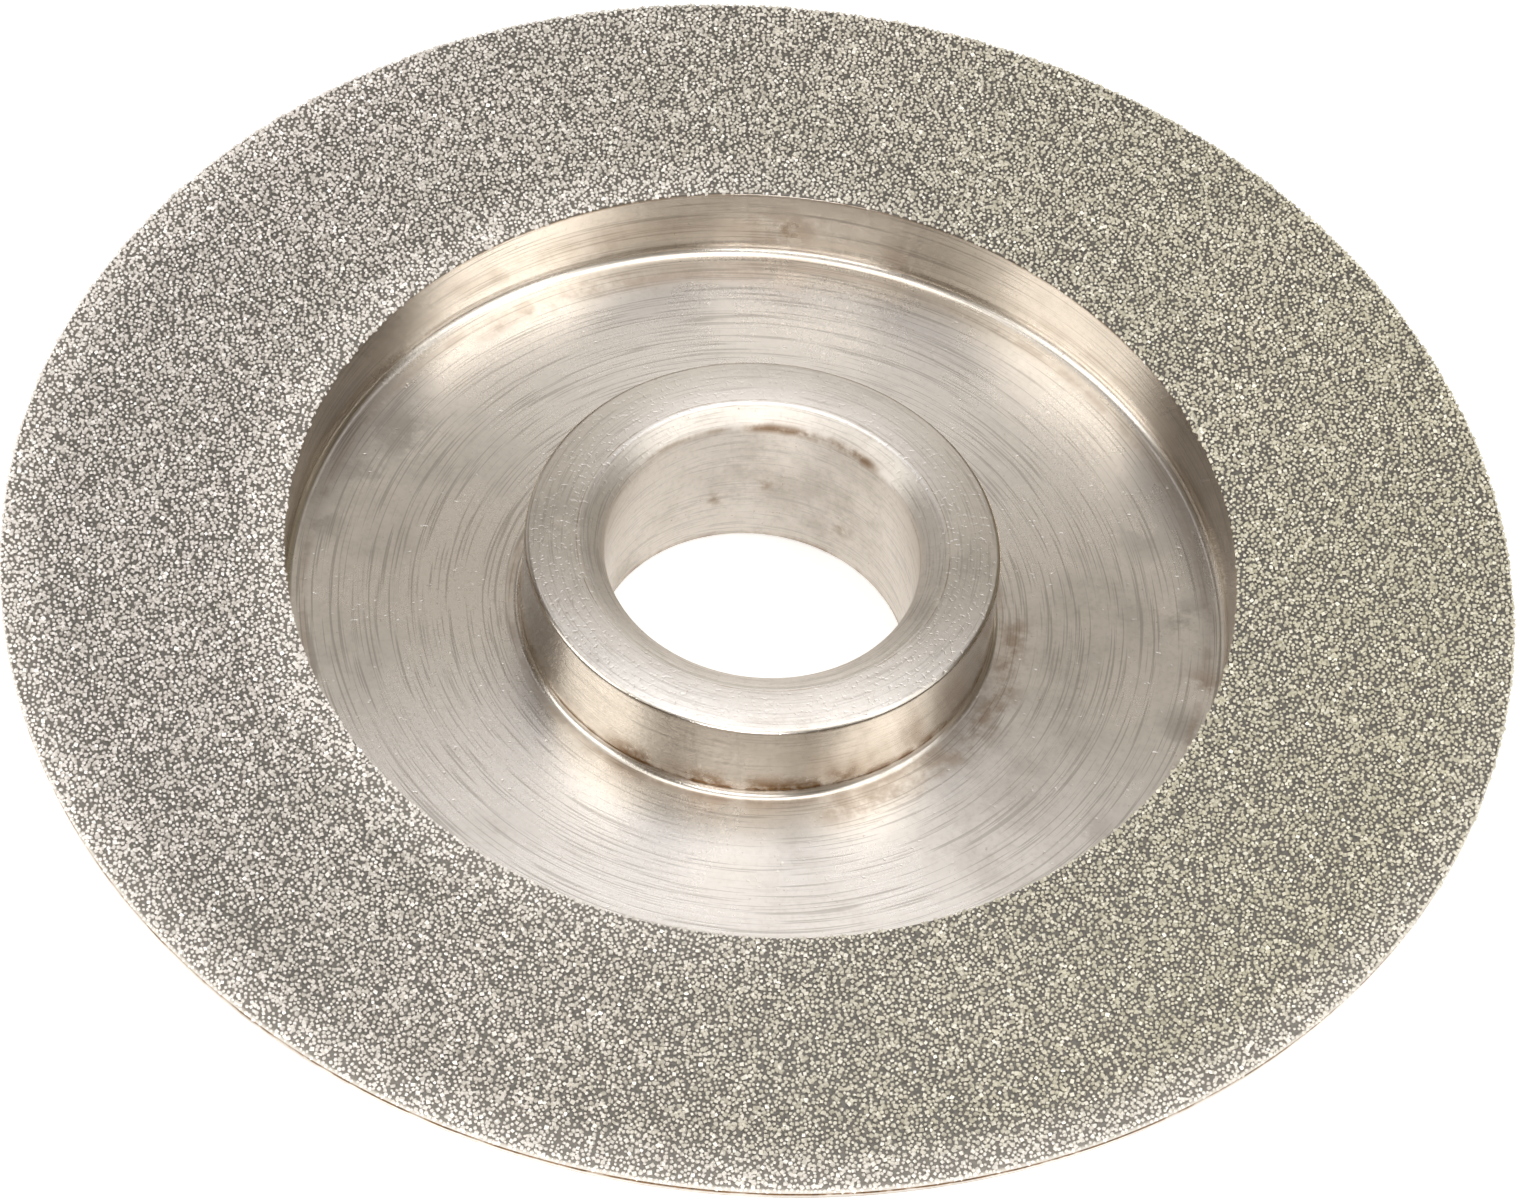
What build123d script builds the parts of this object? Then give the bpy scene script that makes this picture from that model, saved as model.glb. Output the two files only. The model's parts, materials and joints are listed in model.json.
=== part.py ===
from build123d import *
import os

# Diamond grinding wheel: a turned steel dish with a pressed-in hub bush, and a single
# layer of diamond grains held in a plated nickel bond on its face.
# Millimetres. +Z is the wheel's axis, towards the grinding face, and the origin is the
# centre of the back face, on which the wheel lies flat.

# Body: a shallow dish that tapers from its flat back out to a thin rim.
wheel_diameter = 76.2      # 3 in
back_diameter = 55.0       # flat back face, inside the taper
rim_height = 7.85          # from the back face to the body's outer top corner
rim_side = 0.55            # the straight side under that corner
rim_edge_break = 0.1       # corner between the rim's side and the tapered back
face_rise = 0.72           # the face climbs this much from the rim to the recess
recess_diameter = 48.0
floor_height = 4.1         # from the back face to the floor of the recess
recess_foot_radius = 0.5   # tool radius between the recess wall and its floor
back_edge_break = 0.4      # corner between the back face and the taper

# Landing: the low step on the recess floor that the bush's collar seats on.
landing_height = 0.4
landing_foot_radius = 0.35

# Hub bush: a collar above the landing and a spigot pressed through the body.
bore_diameter = 15.9       # slides on a 5/8 in arbor
spigot_wall = 2.35         # from the bore to the outside of the spigot
collar_shoulder = 1.7      # the collar's overhang, which seats on the landing
hub_height = 9.25          # from the back face to the hub's front face
spigot_lead = 0.3          # lead-in chamfer at the spigot's back end
collar_edge_break = 0.25
bore_chamfer_width = 1.15
bore_chamfer_depth = 0.65
bore_back_break = 0.2      # small chamfer where the bore leaves the back face

# Coat: the nickel bond on the body's face, and the grains that stand out of it.
bond_thickness = 0.12
grit_height = 0.08

wheel_radius = wheel_diameter / 2
back_radius = back_diameter / 2
recess_radius = recess_diameter / 2
bore_radius = bore_diameter / 2
spigot_radius = bore_radius + spigot_wall
collar_radius = spigot_radius + collar_shoulder
landing_top = floor_height + landing_height
recess_edge_height = rim_height + face_rise


def turned(outline):
    """Revolve a closed outline of (radius, height) points and arcs about the axis."""
    return revolve(make_face(outline), Axis.Z)


def corner_at(edges, radius, height):
    """The edge that is the circle of this radius at this height."""
    def miss(edge):
        return abs(edge.radius - radius) + abs(edge.arc_center.Z - height)

    return min(edges.filter_by(GeomType.CIRCLE), key=miss)


def wheel_body():
    outline = Polyline(
        (spigot_radius, 0, 0),
        (back_radius, 0, 0),
        (wheel_radius, 0, rim_height - rim_side),
        (wheel_radius, 0, rim_height),
        (recess_radius, 0, recess_edge_height),
        (recess_radius, 0, floor_height),
        (collar_radius, 0, floor_height),
        (collar_radius, 0, landing_top),
        (spigot_radius, 0, landing_top),
        close=True,
    )
    body = turned(outline)
    recess_foot = corner_at(body.edges(), recess_radius, floor_height)
    body = fillet(recess_foot, recess_foot_radius)
    landing_foot = corner_at(body.edges(), collar_radius, floor_height)
    body = fillet(landing_foot, landing_foot_radius)
    rim_corner = corner_at(body.edges(), wheel_radius, rim_height - rim_side)
    body = fillet(rim_corner, rim_edge_break)
    back_corner = corner_at(body.edges(), back_radius, 0)
    return fillet(back_corner, back_edge_break)


def hub_bush():
    chamfer_radius = bore_radius + bore_chamfer_width
    outline = Polyline(
        (bore_radius, 0, bore_back_break),
        (bore_radius + bore_back_break, 0, 0),
        (spigot_radius - spigot_lead, 0, 0),
        (spigot_radius, 0, spigot_lead),
        (spigot_radius, 0, landing_top),
        (collar_radius, 0, landing_top),
        (collar_radius, 0, hub_height),
        (chamfer_radius, 0, hub_height),
        (bore_radius, 0, hub_height - bore_chamfer_depth),
        close=True,
    )
    bush = turned(outline)
    collar_corner = corner_at(bush.edges(), collar_radius, hub_height)
    return fillet(collar_corner, collar_edge_break)


def face_coat(bottom, thickness):
    """A ring of even height on the face, its underside this far above the steel."""
    return turned(Polyline(
        (recess_radius, 0, recess_edge_height + bottom),
        (wheel_radius, 0, rim_height + bottom),
        (wheel_radius, 0, rim_height + bottom + thickness),
        (recess_radius, 0, recess_edge_height + bottom + thickness),
        close=True,
    ))


def nickel_bond():
    return face_coat(0, bond_thickness)


def diamond_grit():
    return face_coat(bond_thickness, grit_height)


nodes = {
    "wheel_body": wheel_body,
    "hub_bush": hub_bush,
    "nickel_bond": nickel_bond,
    "diamond_grit": diamond_grit,
}

os.makedirs("parts", exist_ok=True)
for name, make in nodes.items():
    export_step(make(), f"parts/{name}.step")
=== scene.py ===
import json
import math
import bmesh
import bpy
from mathutils import Matrix, Quaternion, Vector

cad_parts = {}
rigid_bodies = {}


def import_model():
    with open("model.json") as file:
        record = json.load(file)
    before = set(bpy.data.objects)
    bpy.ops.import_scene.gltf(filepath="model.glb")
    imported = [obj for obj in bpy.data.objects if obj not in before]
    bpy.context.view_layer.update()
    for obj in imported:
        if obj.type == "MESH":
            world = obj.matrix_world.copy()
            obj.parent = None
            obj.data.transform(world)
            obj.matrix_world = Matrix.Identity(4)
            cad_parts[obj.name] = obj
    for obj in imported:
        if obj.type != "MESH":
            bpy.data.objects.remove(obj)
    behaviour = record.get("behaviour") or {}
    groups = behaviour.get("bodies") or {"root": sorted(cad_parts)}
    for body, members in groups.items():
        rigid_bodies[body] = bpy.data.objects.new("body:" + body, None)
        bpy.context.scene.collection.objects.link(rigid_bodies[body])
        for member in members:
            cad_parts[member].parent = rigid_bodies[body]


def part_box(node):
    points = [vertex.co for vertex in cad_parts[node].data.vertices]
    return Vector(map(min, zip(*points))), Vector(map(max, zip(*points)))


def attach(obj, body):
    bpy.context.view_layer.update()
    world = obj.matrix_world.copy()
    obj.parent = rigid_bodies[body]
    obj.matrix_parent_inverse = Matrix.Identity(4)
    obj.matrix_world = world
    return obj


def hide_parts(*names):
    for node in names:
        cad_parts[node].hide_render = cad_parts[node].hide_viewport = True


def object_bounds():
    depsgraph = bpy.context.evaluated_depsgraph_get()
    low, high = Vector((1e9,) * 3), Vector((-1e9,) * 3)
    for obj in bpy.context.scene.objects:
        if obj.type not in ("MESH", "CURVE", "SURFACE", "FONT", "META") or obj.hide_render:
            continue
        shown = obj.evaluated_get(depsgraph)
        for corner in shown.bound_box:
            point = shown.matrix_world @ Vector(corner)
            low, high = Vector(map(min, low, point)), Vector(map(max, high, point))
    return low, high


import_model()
cadLow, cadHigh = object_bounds()
bodyLow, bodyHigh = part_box("wheel_body")
bondLow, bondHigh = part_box("nickel_bond")
gritLow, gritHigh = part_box("diamond_grit")
print("frame loaded, box in mm:", [round(x * 1000, 2) for x in (*cadLow, *cadHigh)])

mm = 0.001
wheelRadius = bodyHigh.x
rimHeight = bondLow.z  # steel's outer top corner
recessEdge = bodyHigh.z  # steel's edge at the recess
bondThick = gritLow.z - bondLow.z
gritThick = gritHigh.z - bondHigh.z
hubTop = cadHigh.z


def turned(name, outline, steps=360):
    # outline: (radius, height, round) in mm, closed; a full turn about the axis makes the piece
    bm = bmesh.new()
    corners = [bm.verts.new((r * mm, 0, z * mm)) for r, z, _ in outline]
    for a, b in zip(corners, corners[1:] + corners[:1]):
        bm.edges.new((a, b))
    for vert, (_, _, radius) in zip(corners, outline):
        if radius:
            u, v = ((e.other_vert(vert).co - vert.co) for e in vert.link_edges)
            reach = radius * mm / math.tan(u.angle(v) / 2)
            bmesh.ops.bevel(bm, geom=[vert], offset=reach, affect="VERTICES", segments=5,
                            profile=0.5, material=-1)
    bmesh.ops.spin(bm, geom=bm.verts[:] + bm.edges[:], cent=(0, 0, 0), axis=(0, 0, 1),
                   angle=math.tau, steps=steps, use_merge=True)
    bmesh.ops.recalc_face_normals(bm, faces=bm.faces[:])
    return finished(name, bm)


def finished(name, bm, sharp=40):
    mesh = bpy.data.meshes.new(name)
    bm.to_mesh(mesh)
    bm.free()
    mesh.shade_smooth()
    mesh.set_sharp_from_angle(angle=math.radians(sharp))
    piece = bpy.data.objects.new(name, mesh)
    bpy.context.scene.collection.objects.link(piece)
    return piece


def weightNormals(piece):
    # broad faces keep their own direction beside the rounds
    modifier = piece.modifiers.new("weightedNormal", "WEIGHTED_NORMAL")
    modifier.keep_sharp = True
    modifier.weight = 100
    applyModifiers(piece)


def applyModifiers(piece):
    graph = bpy.context.evaluated_depsgraph_get()
    mesh = bpy.data.meshes.new_from_object(piece.evaluated_get(graph), depsgraph=graph)
    piece.modifiers.clear()
    piece.data = mesh


def standsFor(piece, node, material):
    piece.data.materials.clear()
    piece.data.materials.append(material)
    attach(piece, "root")
    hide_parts(node)


class Tree:
    def __init__(self, name):
        self.material = bpy.data.materials.new(name)
        self.material.use_nodes = True
        self.tree = self.material.node_tree
        self.shader = self.tree.nodes["Principled BSDF"]

    def add(self, kind, links=None, **settings):
        node = self.tree.nodes.new(kind)
        for key, value in settings.items():
            setattr(node, key, value)
        for key, value in (links or {}).items():
            self.feed(node.inputs[key], value)
        return node

    def feed(self, socket, value):
        if isinstance(value, bpy.types.NodeSocket):
            self.tree.links.new(value, socket)
        else:
            socket.default_value = value

    def maths(self, operation, a, b=0.0, c=0.0, clamp=False):
        node = self.add("ShaderNodeMath", {0: a, 1: b, 2: c}, operation=operation)
        node.use_clamp = clamp
        return node.outputs[0]

    def remap(self, value, low, high, toLow=0.0, toHigh=1.0):
        node = self.add("ShaderNodeMapRange", {"Value": value, "From Min": low, "From Max": high,
                        "To Min": toLow, "To Max": toHigh}, interpolation_type="SMOOTHSTEP")
        return node.outputs["Result"]

    def blend(self, share, a, b, mode="MIX"):
        node = self.add("ShaderNodeMix", data_type="RGBA", blend_type=mode)
        for socket, value in ((node.inputs[0], share), (node.inputs[6], a), (node.inputs[7], b)):
            self.feed(socket, value)
        return node.outputs[2]

    def places(self):
        # radius and height of each point, and the direction it lies in from the axis
        place = self.add("ShaderNodeTexCoord").outputs["Object"]
        flat = self.add("ShaderNodeVectorMath", {0: place, 1: (1, 1, 0)}, operation="MULTIPLY")
        length = self.add("ShaderNodeVectorMath", {0: flat.outputs[0]}, operation="LENGTH")
        around = self.add("ShaderNodeVectorMath", {0: flat.outputs[0]}, operation="NORMALIZE")
        height = self.add("ShaderNodeSeparateXYZ", {0: place}).outputs["Z"]
        return place, length.outputs["Value"], height, around.outputs[0]

    def rings(self, radius, height, around, perMm, drift, detail=2.0):
        # marks that run round the axis: fine across, slow along
        turn = self.add("ShaderNodeSeparateXYZ", {0: around})
        across = self.maths("MULTIPLY", radius, perMm / mm)
        vector = self.add("ShaderNodeCombineXYZ", {
            0: self.maths("MULTIPLY", turn.outputs[0], drift),
            1: self.maths("MULTIPLY", turn.outputs[1], drift), 2: across})
        noise = self.add("ShaderNodeTexNoise", {
            "Vector": vector.outputs[0], "W": self.maths("MULTIPLY", height, perMm / mm),
            "Scale": 1.0, "Detail": detail}, noise_dimensions="4D")
        return noise.outputs["Fac"]

    def clouds(self, place, perMm, detail=3.0, rough=0.55):
        noise = self.add("ShaderNodeTexNoise", {"Vector": place, "Scale": perMm / mm,
                         "Detail": detail, "Roughness": rough})
        return noise.outputs["Fac"]

    def nearPoint(self, place, angle, r, z, reach):
        # 1 at a point given by its angle, clockwise from +X, radius and height
        a = math.radians(-angle)
        point = (r * math.cos(a) * mm, r * math.sin(a) * mm, z * mm)
        gap = self.add("ShaderNodeVectorMath", {0: place, 1: point}, operation="DISTANCE")
        return self.remap(gap.outputs["Value"], 0.0, reach * mm, 1.0, 0.0)

    def within(self, around, angle, half):
        # 1 at an angle, clockwise from +X, falling to 0 at half a span from it
        a = math.radians(-angle)
        towards = self.add("ShaderNodeVectorMath", {0: around, 1: (math.cos(a), math.sin(a), 0)},
                           operation="DOT_PRODUCT")
        edge = math.cos(math.radians(half))
        return self.remap(towards.outputs["Value"], edge, (1 + edge) / 2)

    def near(self, radius, height, r, z, reach):
        # 1 at a corner of the outline, falling to 0 at reach
        here = self.add("ShaderNodeCombineXYZ", {0: radius, 1: height})
        gap = self.add("ShaderNodeVectorMath", {0: here.outputs[0], 1: (r * mm, z * mm, 0)},
                       operation="DISTANCE")
        return self.remap(gap.outputs["Value"], 0.0, reach * mm, 1.0, 0.0)


bond = {
    "outerRound": 0.25,
    "lipDrop": 0.12,  # how far the plating reaches down the rim's side
    "lipOut": 0.02,
    # painted shade: the nickel's tone and its darker colour stand in for the shade between the
    # grains
    "tone": (0.25, 0.235, 0.212, 1),
    "hollowShade": (0.13, 0.122, 0.109, 1),
    # painted highlight: the edge colour lights the plating's rounded outer lip
    "edge": (0.74, 0.70, 0.64, 1),
    # painted highlight: the lighter colour of the bands beside the rim and the recess
    "edgeHighlight": (0.40, 0.375, 0.34, 1),
    "roughness": 0.55,
    "nodules": 6.0,  # per mm
    "bump": 0.02,  # mm
}

# turned steel with a thin nickel flash
steel = {
    "light": (0.84, 0.79, 0.728, 1),
    "dull": (0.50, 0.455, 0.40, 1),
    "groove": (0.38, 0.345, 0.305, 1),
    # the stain and crust colours also paint the shadow under the nickel's lip
    "stainAndShadowTone": (0.27, 0.155, 0.07, 1),
    "crustAndShadowTone": (0.16, 0.10, 0.06, 1),
    "roughness": 0.26,
    "anisotropy": 0.72,
    "fineMarks": 10.0,  # per mm
    "marks": 4.6,
    "coarseMarks": 1.7,
    "bumpFine": 0.0030,  # mm
    "bump": 0.0038,
    "bumpCoarse": 0.005,
    "grain": 0.0010,
    "nicks": 3.5,  # per mm
    "nickShare": 0.70,  # higher is fewer
    "nickDepth": 0.005,  # mm
    "grooves": 0.55,  # how dark the deeper marks are
    "cloudy": 0.7,  # how dull the duller places are
}


def turnedSteel(name, look):
    # bands: (inner radius, outer radius, roughness, dullness) of faces finished another way
    # seams: (radius, height, reach, strength) of stains that run round the axis
    # seams: (radius, height, reach, strength) of stains that run round the axis; the body's one
    # under the nickel's lip is partly painted shadow
    # stains: the same, of brown places
    # arcs: (angle, half its span, radius, height, reach, strength) of seams that end
    s = {**steel, "bands": (), "seams": (), "smudges": (), "stains": (), "arcs": (), **look}
    t = Tree(name)
    place, radius, height, around = t.places()
    fine = t.rings(radius, height, around, s["fineMarks"], 3.5, 1.0)
    marks = t.rings(radius, height, around, s["marks"], 2.4, 2.0)
    coarse = t.rings(radius, height, around, s["coarseMarks"], 1.5, 2.0)
    cloud = t.clouds(place, 0.10, 4.0)
    patch = t.clouds(place, 0.55, 4.0, 0.66)
    crumbs = t.clouds(place, 3.6, 1.5, 0.55)
    speck = t.clouds(place, 5.0, 1.0, 0.5)
    nick = t.remap(t.clouds(place, s["nicks"], 1.0, 0.6), s["nickShare"], s["nickShare"] + 0.10)

    dulled = t.maths("MULTIPLY", t.remap(cloud, 0.42, 0.72), t.remap(patch, 0.3, 0.7, 0.3, 0.9))
    dulled = t.maths("MULTIPLY", dulled, s["cloudy"])
    rough = s["roughness"]
    for inner, outer, bandRough, bandDull in s["bands"]:
        edge = 0.06 * mm
        band = t.maths("MULTIPLY", t.remap(radius, inner * mm - edge, inner * mm),
                       t.remap(radius, outer * mm + edge, outer * mm))
        rough = t.maths("MULTIPLY_ADD", band, bandRough - s["roughness"], rough)
        dulled = t.maths("MULTIPLY_ADD", band, bandDull, dulled)
    for angle, r, z, reach, strength in s["smudges"]:
        mask = t.maths("MULTIPLY", t.nearPoint(place, angle, r, z, reach), strength)
        dulled = t.maths("MAXIMUM", dulled, t.maths("MULTIPLY", mask, t.remap(patch, 0.32, 0.56)))
    mottled = t.maths("MULTIPLY", t.remap(crumbs, 0.45, 0.75), 0.16)
    dullness = t.maths("ADD", dulled, mottled, clamp=True)
    tone = t.blend(dullness, s["light"], s["dull"])
    grooved = t.maths("MAXIMUM", t.remap(fine, 0.55, 0.65), t.remap(marks, 0.60, 0.70))
    tone = t.blend(t.maths("MULTIPLY", grooved, s["grooves"]), tone, s["groove"])

    stainAndShadow = t.maths("MULTIPLY", t.remap(speck, 0.74, 0.80), 0.35)
    for r, z, reach, strength in s["seams"]:
        mask = t.maths("MULTIPLY", t.near(radius, height, r, z, reach), strength)
        share = t.remap(patch, 0.40, 0.60, 0.25, 1.0)
        stainAndShadow = t.maths("MAXIMUM", stainAndShadow, t.maths("MULTIPLY", mask, share))
    for angle, half, r, z, reach, strength in s["arcs"]:
        mask = t.maths("MULTIPLY", t.near(radius, height, r, z, reach), strength)
        mask = t.maths("MULTIPLY", mask, t.within(around, angle, half))
        share = t.remap(patch, 0.36, 0.62, 0.10, 1.0)
        stainAndShadow = t.maths("MAXIMUM", stainAndShadow, t.maths("MULTIPLY", mask, share))
    for angle, r, z, reach, strength in s["stains"]:
        mask = t.maths("MULTIPLY", t.nearPoint(place, angle, r, z, reach), strength)
        stainAndShadow = t.maths("MAXIMUM", stainAndShadow, t.maths("MULTIPLY", mask, t.remap(patch, 0.42, 0.58)))
    # brown stains and crust, which also paint the shadow under the nickel's lip
    tone = t.blend(stainAndShadow, tone, s["stainAndShadowTone"])
    crustAndShadow = t.maths("MULTIPLY", t.remap(stainAndShadow, 0.7, 1.3), t.remap(crumbs, 0.44, 0.60))
    tone = t.blend(crustAndShadow, tone, s["crustAndShadowTone"])

    rough = t.maths("MULTIPLY_ADD", dullness, 0.14, rough)
    rough = t.maths("MULTIPLY_ADD", stainAndShadow, 0.20, rough)
    relief = t.maths("MULTIPLY", coarse, s["bumpCoarse"] * mm)
    relief = t.maths("MULTIPLY_ADD", marks, s["bump"] * mm, relief)
    relief = t.maths("MULTIPLY_ADD", fine, s["bumpFine"] * mm, relief)
    relief = t.maths("MULTIPLY_ADD", crumbs, s["grain"] * mm, relief)
    relief = t.maths("MULTIPLY_ADD", nick, -s["nickDepth"] * mm, relief)
    bump = t.add("ShaderNodeBump", {"Height": relief, "Distance": 1.0, "Strength": 1.0})
    tangent = t.add("ShaderNodeTangent", direction_type="RADIAL", axis="Z")
    t.feed(t.shader.inputs["Base Color"], tone)
    t.feed(t.shader.inputs["Roughness"], rough)
    t.feed(t.shader.inputs["Normal"], bump.outputs[0])
    t.feed(t.shader.inputs["Tangent"], tangent.outputs[0])
    t.shader.inputs["Metallic"].default_value = 1.0
    t.shader.inputs["Anisotropic"].default_value = s["anisotropy"]
    t.shader.inputs["Anisotropic Rotation"].default_value = 0.25
    return t.material


body = {
    "spigotRadius": 10.3,
    "backRadius": 27.5,
    "rimSide": 0.55,
    "recessRadius": 24.0,
    "floor": 4.1,
    "landingRadius": 12.0,
    "landingTop": 4.5,
    "recessFoot": 0.5,
    "landingFoot": 0.35,
    "rimRound": 0.22,
    "mouthRound": 0.08,
}


def makeBody():
    b = body
    rim, top = rimHeight / mm, recessEdge / mm
    outline = [
        (b["spigotRadius"], 0, 0.12),
        (b["backRadius"], 0, 0.4),
        (wheelRadius / mm, rim - b["rimSide"], 0.1),
        (wheelRadius / mm, rim, b["rimRound"]),
        (b["recessRadius"], top, b["mouthRound"]),
        (b["recessRadius"], b["floor"], b["recessFoot"]),
        (b["landingRadius"], b["floor"], b["landingFoot"]),
        (b["landingRadius"], b["landingTop"], 0.05),
        (b["spigotRadius"], b["landingTop"], 0),
    ]
    piece = turned("wheelBody", outline, 480)
    weightNormals(piece)
    foot, wall = b["floor"], b["recessRadius"]
    look = {
        "bands": [(wall - 0.02, wall + 0.1, 0.17, 0.0)],
        "seams": [
            (wall, foot + 0.55, 0.14, 0.35),
            (wall, recessEdge / mm, 0.25, 0.7),
            (wall - 1.0, foot, 0.4, 0.3),
            (b["landingRadius"] + 0.5, foot, 0.35, 0.35),
            (b["landingRadius"], b["landingTop"], 0.16, 0.9),
            # partly painted shadow under the nickel's lip, partly a stain where the plating ends
            (wheelRadius / mm, rim - bond["lipDrop"] - 0.08, 0.20, 3.2),
            (wheelRadius / mm, rim - b["rimSide"], 0.10, 0.8),
        ],
        "smudges": [
            (205, 21.2, foot, 3.8, 1.0),
            (196, 21.8, foot, 2.6, 0.8),
            (186, 22.4, foot, 2.2, 0.7),
            (-6, 22.0, foot, 2.6, 0.9),
            (12, 22.6, foot, 2.4, 0.9),
            (-20, 20.5, foot, 2.4, 0.6),
            *((a, 21.6, foot, 1.8, 0.6) for a in (78, 86, 94, 102)),
            (33, 21.5, foot, 2.2, 0.6),
        ],
        "arcs": [
            (18, 26, 13.2, foot, 1.6, 0.6),
            (52, 22, 13.3, foot, 1.5, 0.5),
            (92, 26, b["landingRadius"] + 0.45, foot, 0.30, 0.5),
            (246, 24, 22.4, foot, 0.9, 0.45),
        ],
        "stains": [
            (128, 13.0, foot, 1.6, 0.3),
            (4, 23.0, foot, 1.6, 0.5),
            (268, wall, foot + 2.0, 3.0, 0.6),
            (283, wall, foot + 1.3, 2.0, 0.3),
            (250, 22.3, foot, 2.0, 0.25),
        ],
    }
    steelLook = turnedSteel("turnedBodySteel", look)
    standsFor(piece, "wheel_body", steelLook)


makeBody()
print("wheel body made")


bush = {
    "boreRadius": 7.95,
    "spigotRadius": 10.3,
    "collarRadius": 12.0,
    "seat": 4.5,
    "chamferWidth": 1.15,
    "chamferDepth": 0.65,
    "collarRound": 0.25,
    "chamferRounds": (0.9, 0.6),  # the lead-in's corners are worn round
}


def makeBush():
    b = bush
    top = hubTop / mm
    outline = [
        (b["boreRadius"], 0.2, 0.05),
        (b["boreRadius"] + 0.2, 0, 0.05),
        (b["spigotRadius"] - 0.3, 0, 0.05),
        (b["spigotRadius"], 0.3, 0.05),
        (b["spigotRadius"], b["seat"], 0),
        (b["collarRadius"], b["seat"], 0.08),
        (b["collarRadius"], top, b["collarRound"]),
        (b["boreRadius"] + b["chamferWidth"], top, b["chamferRounds"][0]),
        (b["boreRadius"], top - b["chamferDepth"], b["chamferRounds"][1]),
    ]
    piece = turned("hubBush", outline, 360)
    weightNormals(piece)
    chamferFoot = top - b["chamferDepth"]
    side, bore, mouth = b["collarRadius"], b["boreRadius"], b["boreRadius"] + b["chamferWidth"]
    look = {
        "fineMarks": 11.0,
        "bumpCoarse": 0.003,
        "roughness": 0.29,
        "grain": 0.003,
        "nicks": 4.2,
        "nickShare": 0.59,
        "nickDepth": 0.004,
        "grooves": 0.30,
        "bands": [
            (side - 0.02, side + 0.1, 0.17, 0.0),
            (bore + 0.08, mouth, 0.52, 0.0),
            (bore - 0.1, bore + 0.02, 0.48, 0.2),
        ],
        "seams": [
            (side, b["seat"] + 0.1, 0.22, 0.5),
            (bore, 0.2, 0.35, 0.5),
            (mouth - 0.05, top, 0.07, 0.8),
            (mouth + 0.3, top, 0.05, 0.6),
            (bore + 0.45, top - 0.35, 0.07, 0.5),
        ],
        "smudges": [
            (0, 10.5, top, 3.0, 0.45),
            (182, 10.5, top, 3.2, 0.45),
        ],
        "arcs": [
            (91, 30, side, b["seat"] + 0.1, 0.35, 1.6),
            (91, 36, side, b["seat"] + 0.2, 1.50, 0.95),
            (22, 24, side, b["seat"] + 0.1, 0.80, 0.9),
            (56, 14, side, b["seat"] + 0.1, 0.60, 0.8),
            (284, 30, bore + 0.08, chamferFoot + 0.02, 0.45, 0.85),
            (236, 20, bore + 0.08, chamferFoot + 0.02, 0.25, 0.5),
        ],
        "stains": [
            (250, bore, 3.2, 0.8, 0.5),
            (268, bore, 4.2, 0.6, 0.5),
            (300, bore, 2.6, 0.9, 0.4),
        ],
    }
    steelLook = turnedSteel("turnedBushSteel", look)
    standsFor(piece, "hub_bush", steelLook)


makeBush()
print("hub bush made")


def edgeHighlightBands(t, place, radius):
    # 1 beside the rim and the recess, most of all on one side: painted highlight bands where the
    # light falls on the face
    turn = t.add("ShaderNodeSeparateXYZ", {0: place})
    aslant = t.maths("MULTIPLY", turn.outputs[0], -0.64)
    aslant = t.maths("MULTIPLY_ADD", turn.outputs[1], -0.77, aslant)
    outside = t.maths("MULTIPLY", t.remap(radius, wheelRadius - 3.2 * mm, wheelRadius),
                      t.remap(aslant, -0.9 * wheelRadius, 0.4 * wheelRadius))
    recess = body["recessRadius"] * mm
    inside = t.maths("MULTIPLY", t.remap(radius, recess + 3.4 * mm, recess),
                     t.remap(turn.outputs[0], 0.5 * recess, -0.7 * recess))
    return t.maths("MAXIMUM", inside, outside)


def platedNickel():
    t = Tree("platedNickel")
    place, radius, _, _ = t.places()
    nodules = t.clouds(place, bond["nodules"], 3.0, 0.6)
    cloud = t.clouds(place, 0.07, 3.0)
    # painted shade: the nickel is darker in the low places between the nodules
    shade = t.maths("MULTIPLY", t.remap(nodules, 0.3, 0.62, 1.0, 0.0), 0.7)
    tone = t.blend(shade, bond["tone"], bond["hollowShade"])
    # painted highlight: lighter bands beside the rim and the recess, most on one side
    tone = t.blend(t.maths("MULTIPLY", edgeHighlightBands(t, place, radius), 0.5), tone, bond["edgeHighlight"])
    # painted highlight on the plating's rounded outer lip
    lipHighlight = t.remap(radius, wheelRadius - 0.10 * mm, wheelRadius + 0.01 * mm)
    tone = t.blend(lipHighlight, tone, bond["edge"])
    rough = t.maths("MULTIPLY_ADD", cloud, 0.12, bond["roughness"])
    relief = t.maths("MULTIPLY", nodules, bond["bump"] * mm)
    bump = t.add("ShaderNodeBump", {"Height": relief, "Distance": 1.0, "Strength": 1.0})
    t.feed(t.shader.inputs["Base Color"], tone)
    t.feed(t.shader.inputs["Roughness"], rough)
    t.feed(t.shader.inputs["Normal"], bump.outputs[0])
    t.shader.inputs["Metallic"].default_value = 1.0
    return t.material


def makeBond():
    outer = wheelRadius / mm + bond["lipOut"]
    inner = body["recessRadius"]
    steelRim, steelTop = rimHeight / mm, recessEdge / mm
    thick = bondThick / mm
    outline = [
        (inner, steelTop - 0.02, 0),
        (inner, steelTop + thick, 0.06),
        (outer, steelRim + thick, bond["outerRound"]),
        (outer, steelRim - bond["lipDrop"], 0.02),
        (outer - 0.12, steelRim - bond["lipDrop"], 0),
        (outer - 0.3, steelRim - 0.05, 0),
    ]
    piece = turned("nickelBond", outline, 480)
    weightNormals(piece)
    standsFor(piece, "nickel_bond", platedNickel())


makeBond()
print("nickel bond made")


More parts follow.
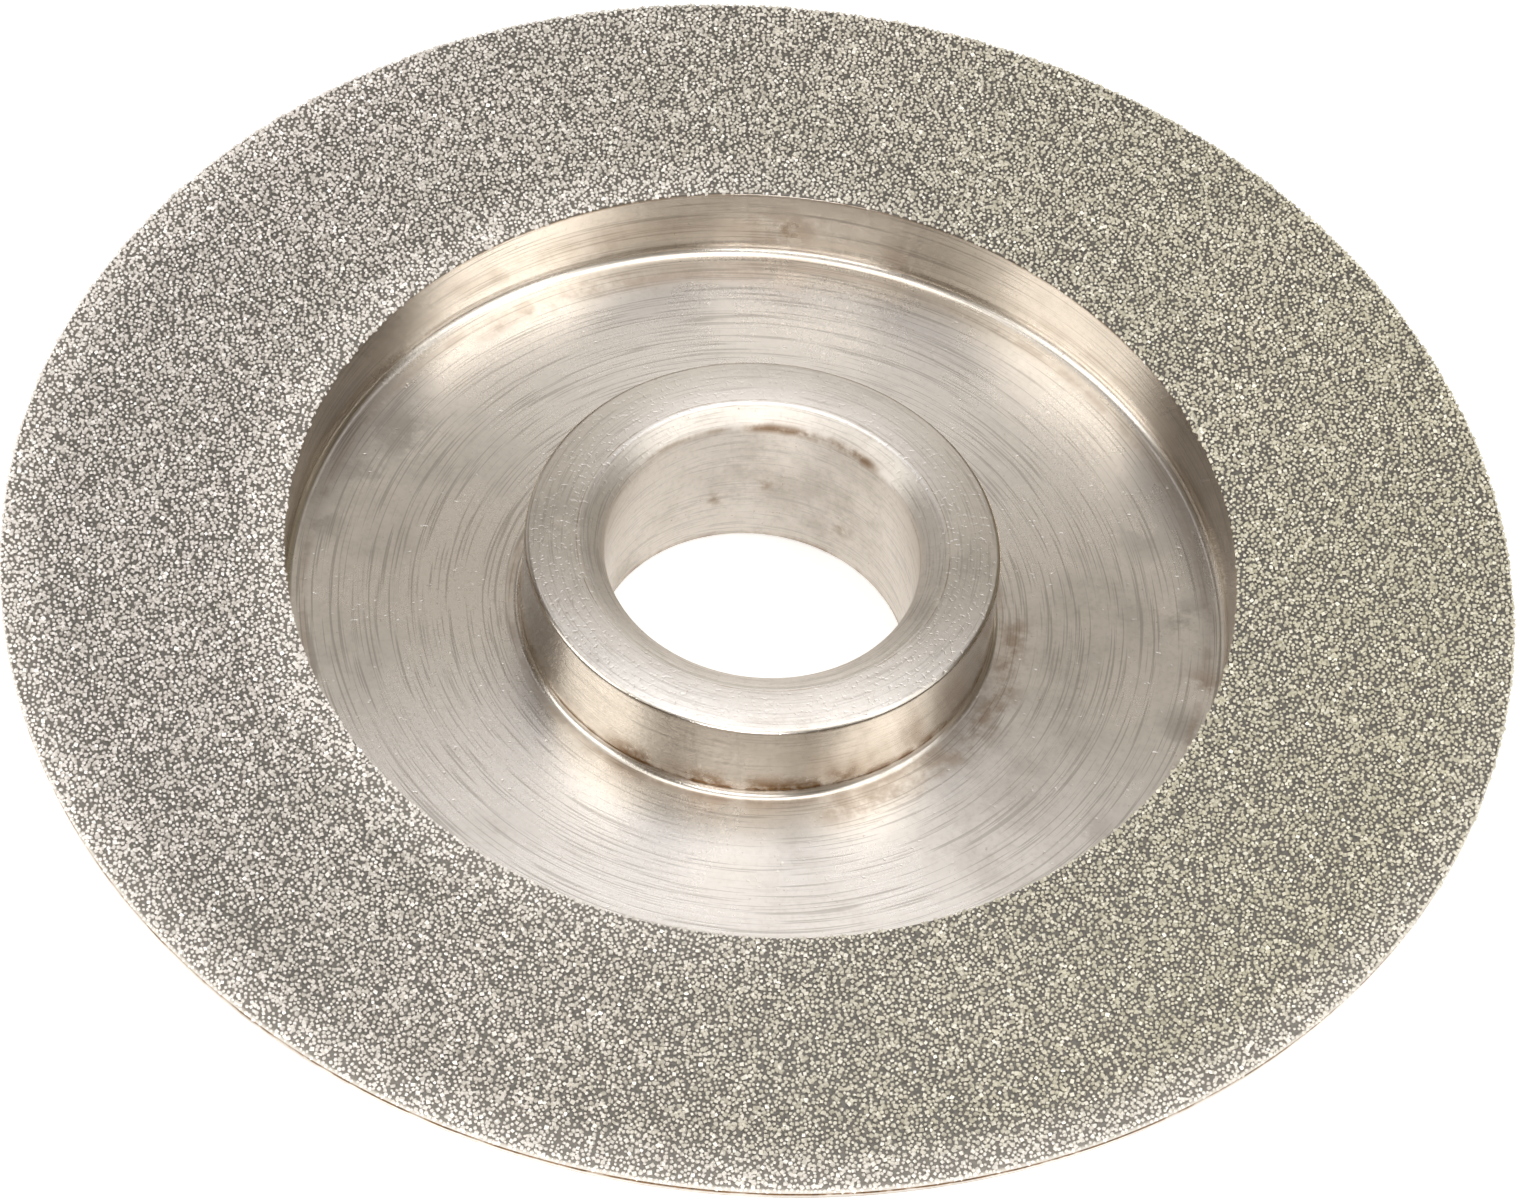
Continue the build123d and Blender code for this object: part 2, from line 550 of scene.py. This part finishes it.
grains = {
    "size": 0.102,  # mm, radius of an average grain
    "gap": 0.182,  # mm, least distance between centres
    "density": 110.0,  # tries per square mm
    "sink": 0.045,  # mm, how far a grain's middle is above the nickel
    "smallest": 0.78,
    "largest": 1.18,
    "tilt": 0.9,  # radians
    "sectors": 8,
    "kinds": 6,
    "seed": 7,
}


def makeKinds():
    # rough crystals: blocks with some corners cut off, and lumps, each squashed its own way
    group = bpy.data.collections.new("grainKinds")
    for kind in range(grains["kinds"]):
        bm = bmesh.new()
        if kind % 2:
            bmesh.ops.create_icosphere(bm, subdivisions=1, radius=grains["size"] * mm)
        else:
            bmesh.ops.create_cube(bm, size=1.62 * grains["size"] * mm)
            odd = [v for v in bm.verts if v.co.x * v.co.y * v.co.z > 0][:2]
            cut = grains["size"] * mm * (0.60 + 0.08 * kind)
            bmesh.ops.bevel(bm, geom=odd, offset=cut, affect="VERTICES", segments=1,
                            profile=0.5, material=-1)
        squash = (1.0 + 0.12 * math.sin(kind * 2.1), 1.0 + 0.15 * math.cos(kind * 1.7),
                  0.86 + 0.08 * math.sin(kind * 3.3))
        bmesh.ops.scale(bm, vec=squash, verts=bm.verts)
        bmesh.ops.recalc_face_normals(bm, faces=bm.faces[:])
        mesh = bpy.data.meshes.new(f"grainKind{kind}")
        bm.to_mesh(mesh)
        bm.free()
        group.objects.link(bpy.data.objects.new(f"grainKind{kind}", mesh))
    return group


def scatterNodes(group, sector):
    g = grains
    tree = bpy.data.node_groups.new("scatterGrains", "GeometryNodeTree")
    tree.interface.new_socket("Geometry", in_out="INPUT", socket_type="NodeSocketGeometry")
    tree.interface.new_socket("Geometry", in_out="OUTPUT", socket_type="NodeSocketGeometry")

    def add(kind, links=None, **settings):
        node = tree.nodes.new(kind)
        for key, value in settings.items():
            setattr(node, key, value)
        for key, value in (links or {}).items():
            if isinstance(value, bpy.types.NodeSocket):
                tree.links.new(value, node.inputs[key])
            else:
                node.inputs[key].default_value = value
        return node

    def chance(low, high, seed):
        node = add("FunctionNodeRandomValue", data_type="FLOAT")
        node.inputs[2].default_value = low
        node.inputs[3].default_value = high
        node.inputs["Seed"].default_value = seed
        return node.outputs[1]

    start = add("NodeGroupInput")
    spread = add("GeometryNodeDistributePointsOnFaces", {
        "Mesh": start.outputs[0], "Distance Min": g["gap"] * mm,
        "Density Max": g["density"] / mm ** 2, "Seed": g["seed"]}, distribute_method="POISSON")
    place = add("ShaderNodeSeparateXYZ", {0: add("GeometryNodeInputPosition").outputs[0]})
    angle = add("ShaderNodeMath", {0: place.outputs[1], 1: place.outputs[0]},
                operation="ARCTAN2")
    share = add("ShaderNodeMath", {0: angle.outputs[0], 1: g["sectors"] / math.tau,
                2: g["sectors"] / 2}, operation="MULTIPLY_ADD")
    index = add("ShaderNodeMath", {0: share.outputs[0]}, operation="FLOOR")
    other = add("FunctionNodeCompare", data_type="FLOAT", operation="NOT_EQUAL")
    tree.links.new(index.outputs[0], other.inputs[0])
    other.inputs[1].default_value = float(sector)
    other.inputs["Epsilon"].default_value = 0.1
    kept = add("GeometryNodeDeleteGeometry", {"Geometry": spread.outputs["Points"],
               "Selection": other.outputs[0]}, domain="POINT")
    kinds = add("GeometryNodeCollectionInfo", {"Collection": group, "Separate Children": True})
    which = add("FunctionNodeRandomValue", data_type="INT")
    which.inputs[4].default_value = 0
    which.inputs[5].default_value = g["kinds"] - 1
    which.inputs["Seed"].default_value = 11
    lean = add("ShaderNodeCombineXYZ", {0: chance(-g["tilt"], g["tilt"], 21),
               1: chance(-g["tilt"], g["tilt"], 22), 2: chance(-math.pi, math.pi, 23)})
    turn = add("FunctionNodeRotateRotation", {"Rotation": spread.outputs["Rotation"],
               "Rotate By": lean.outputs[0]}, rotation_space="LOCAL")
    placed = add("GeometryNodeInstanceOnPoints", {
        "Points": kept.outputs[0], "Instance": kinds.outputs[0], "Pick Instance": True,
        "Instance Index": which.outputs[2], "Rotation": turn.outputs[0],
        "Scale": chance(g["smallest"], g["largest"], 31)})
    named = add("GeometryNodeStoreNamedAttribute", {"Geometry": placed.outputs[0],
                "Name": "tone", "Value": chance(0.0, 1.0, 41)}, data_type="FLOAT",
                domain="INSTANCE")
    real = add("GeometryNodeRealizeInstances", {"Geometry": named.outputs[0]})
    add("NodeGroupOutput", {0: real.outputs[0]})
    return tree


def makeSeat():
    # the surface that the grains' middles lie on: the nickel's top with its rounded edge
    lift = (bondThick / mm) + grains["sink"]
    inner, outer = body["recessRadius"] + 0.03, wheelRadius / mm
    steelRim, steelTop = rimHeight / mm, recessEdge / mm
    bm = bmesh.new()
    points = [(inner, steelTop + lift - 0.14), (inner, steelTop + lift),
              (outer, steelRim + lift), (outer, steelRim + lift - 0.2)]
    verts = [bm.verts.new((r * mm, 0, z * mm)) for r, z in points]
    for a, b in zip(verts, verts[1:]):
        bm.edges.new((a, b))
    for vert, reach in ((verts[1], 0.08), (verts[2], 0.19)):
        bmesh.ops.bevel(bm, geom=[vert], offset=reach * mm, affect="VERTICES", segments=4,
                        profile=0.5, material=-1)
    bmesh.ops.spin(bm, geom=bm.verts[:] + bm.edges[:], cent=(0, 0, 0), axis=(0, 0, 1),
                   angle=math.tau, steps=240, use_merge=True)
    bmesh.ops.recalc_face_normals(bm, faces=bm.faces[:])
    if sum(f.normal.z for f in bm.faces) < 0:
        bmesh.ops.reverse_faces(bm, faces=bm.faces[:])
    mesh = bpy.data.meshes.new("grainSeat")
    bm.to_mesh(mesh)
    bm.free()
    return mesh


def diamondGrain():
    t = Tree("diamondGrain")
    place, radius, _, _ = t.places()
    tone = t.add("ShaderNodeAttribute", attribute_name="tone").outputs["Fac"]
    cloud = t.clouds(place, 0.06, 3.0)
    ramp = t.add("ShaderNodeValToRGB", {0: tone})
    stops = ramp.color_ramp.elements
    stops[0].position, stops[0].color = 0.0, (0.60, 0.575, 0.53, 1)
    stops[1].position, stops[1].color = 1.0, (0.89, 0.862, 0.82, 1)
    middle = stops.new(0.45)
    middle.color = (0.74, 0.71, 0.665, 1)
    grey = t.blend(t.remap(cloud, 0.35, 0.65, 0.0, 0.2), ramp.outputs[0], (0.46, 0.46, 0.38, 1))
    # painted light: the grains turn yellower towards +X, a colour cast of the light falling there
    across = t.add("ShaderNodeSeparateXYZ", {0: place}).outputs["X"]
    paintedLightCast = t.blend(t.remap(across, -wheelRadius, wheelRadius), (1.0, 0.975, 0.99, 1),
                   (0.93, 0.91, 0.77, 1))
    grey = t.blend(1.0, grey, paintedLightCast, "MULTIPLY")
    # painted highlight: lighter grains beside the rim and the recess, most on one side
    edge = t.maths("MULTIPLY", edgeHighlightBands(t, place, radius), 0.75)
    grey = t.blend(edge, grey, (0.97, 0.93, 0.885, 1))
    t.feed(t.shader.inputs["Base Color"], grey)
    t.feed(t.shader.inputs["Roughness"], t.maths("MULTIPLY_ADD", tone, -0.2, 0.38))
    t.shader.inputs["IOR"].default_value = 2.1
    return t.material


def makeGrains():
    group = makeKinds()
    seat = makeSeat()
    material = diamondGrain()
    total = 0
    for sector in range(grains["sectors"]):
        piece = bpy.data.objects.new(f"diamondGrains{sector + 1}", seat.copy())
        bpy.context.scene.collection.objects.link(piece)
        modifier = piece.modifiers.new("scatter", "NODES")
        modifier.node_group = scatterNodes(group, sector)
        applyModifiers(piece)
        piece.data.materials.clear()
        piece.data.materials.append(material)
        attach(piece, "root")
        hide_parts("diamond_grit")
        triangles = sum(len(p.vertices) - 2 for p in piece.data.polygons)
        print(piece.name, "triangles", triangles)
        total += triangles
    for tree in [g for g in bpy.data.node_groups if g.name.startswith("scatterGrains")]:
        bpy.data.node_groups.remove(tree)
    for kind in group.objects[:]:
        bpy.data.objects.remove(kind)
    bpy.data.collections.remove(group)
    print("diamond grains made, triangles", total)


makeGrains()


studio = {
    "floorSize": 1.2,
    "floorTone": (0.80, 0.80, 0.80, 1),
    "floorGlow": 0.50,
    "world": (1.0, 0.62, 0.22),
    "worldStrength": 0.065,
    "reach": 0.5,  # from the wheel to each softbox
    "box": (0.30, 0.24),
}

# azimuth is anticlockwise from +X, both angles in degrees
softboxes = {
    "right": {"azimuth": -20, "elevation": 50, "power": 0.37, "tone": (1.0, 1.0, 0.98)},
    "rightLow": {"azimuth": -20, "elevation": 28, "power": 0.31, "tone": (1.0, 1.0, 0.99)},
    "rightHigh": {"azimuth": 0, "elevation": 70, "power": 0.36, "tone": (1.0, 0.99, 0.96)},
    "left": {"azimuth": 200, "elevation": 50, "power": 0.28, "tone": (1.0, 1.0, 0.97)},
    "leftLow": {"azimuth": 200, "elevation": 28, "power": 0.64, "tone": (1.0, 1.0, 0.99)},
    "leftHigh": {"azimuth": 180, "elevation": 70, "power": 0.08, "tone": (1.0, 0.98, 0.92)},
    "farTop": {"azimuth": 90, "elevation": 75, "power": 0.25, "tone": (1.0, 1.0, 1.0)},
    "farHigh": {"azimuth": 90, "elevation": 70, "power": 0.23, "tone": (0.79, 0.86, 1.0)},
    "far": {"azimuth": 90, "elevation": 45, "power": 0.105, "tone": (1.0, 0.96, 0.88)},
    "farLow": {"azimuth": 90, "elevation": 20, "power": 0.12, "tone": (1.0, 0.98, 0.94)},
    "farLeft": {"azimuth": 138, "elevation": 22, "power": 0.116, "tone": (1.0, 0.98, 0.95)},
    "farRight": {"azimuth": 42, "elevation": 22, "power": 0.032, "tone": (1.0, 0.97, 0.71)},
    "nearLow": {"azimuth": -90, "elevation": 22, "power": 1.13, "tone": (1.0, 1.0, 1.0)},
    "nearTop": {"azimuth": -90, "elevation": 78, "power": 0.52, "tone": (1.0, 0.98, 0.95)},
}


def makeFloor():
    bm = bmesh.new()
    bmesh.ops.create_grid(bm, x_segments=4, y_segments=4, size=studio["floorSize"] / 2)
    mesh = bpy.data.meshes.new("paleFloor")
    bm.to_mesh(mesh)
    bm.free()
    floor = bpy.data.objects.new("paleFloor", mesh)
    bpy.context.scene.collection.objects.link(floor)
    t = Tree("paleFloor")
    t.shader.inputs["Base Color"].default_value = studio["floorTone"]
    t.shader.inputs["Roughness"].default_value = 0.9
    t.shader.inputs["Emission Color"].default_value = (1, 1, 1, 1)
    t.shader.inputs["Emission Strength"].default_value = studio["floorGlow"]
    mesh.materials.append(t.material)


def makeLights():
    world = bpy.data.worlds.new("studioWorld")
    bpy.context.scene.world = world
    world.use_nodes = True
    background = world.node_tree.nodes["Background"]
    background.inputs[0].default_value = (*studio["world"], 1)
    background.inputs[1].default_value = studio["worldStrength"]
    centre = Vector((0, 0, rimHeight))
    for name, box in softboxes.items():
        a, e = math.radians(box["azimuth"]), math.radians(box["elevation"])
        away = Vector((math.cos(a) * math.cos(e), math.sin(a) * math.cos(e), math.sin(e)))
        light = bpy.data.lights.new(name + "Softbox", "AREA")
        light.shape = "RECTANGLE"
        light.size, light.size_y = studio["box"]
        light.energy = box["power"]
        light.color = box["tone"]
        lamp = bpy.data.objects.new(name + "Softbox", light)
        lamp.location = centre + away * studio["reach"]
        lamp.rotation_euler = away.to_track_quat("Z", "Y").to_euler()
        bpy.context.scene.collection.objects.link(lamp)


shot = {
    "distance": 0.3659,  # from the centre of the rim's edge
    "elevation": 50.93,
    "lens": 171.6,  # on a sensor 36 mm wide
    "pitch": -0.335,
    "yaw": -0.010,
    "roll": -6.47,
}


def makeCamera():
    e = math.radians(shot["elevation"])
    target = Vector((0, 0, rimHeight + bondThick + gritThick))
    away = Vector((0, -math.cos(e), math.sin(e)))
    ahead, right = -away, Vector((1, 0, 0))
    up = right.cross(ahead)
    for axis, angle in ((up, shot["yaw"]), (right, shot["pitch"]), (ahead, shot["roll"])):
        turn = Quaternion(axis, math.radians(angle))
        right, up, ahead = turn @ right, turn @ up, turn @ ahead
    data = bpy.data.cameras.new("camera")
    data.lens = shot["lens"]
    data.sensor_width = 36
    data.clip_start, data.clip_end = 0.01, 10
    camera = bpy.data.objects.new("camera", data)
    camera.matrix_world = Matrix.Translation(target + away * shot["distance"]) @ Matrix(
        (right, up, -ahead)).transposed().to_4x4()
    bpy.context.scene.collection.objects.link(camera)
    bpy.context.scene.camera = camera


makeFloor()
makeLights()
makeCamera()
bpy.context.scene.view_settings.view_transform = "Standard"
print("floor, lights and camera made")
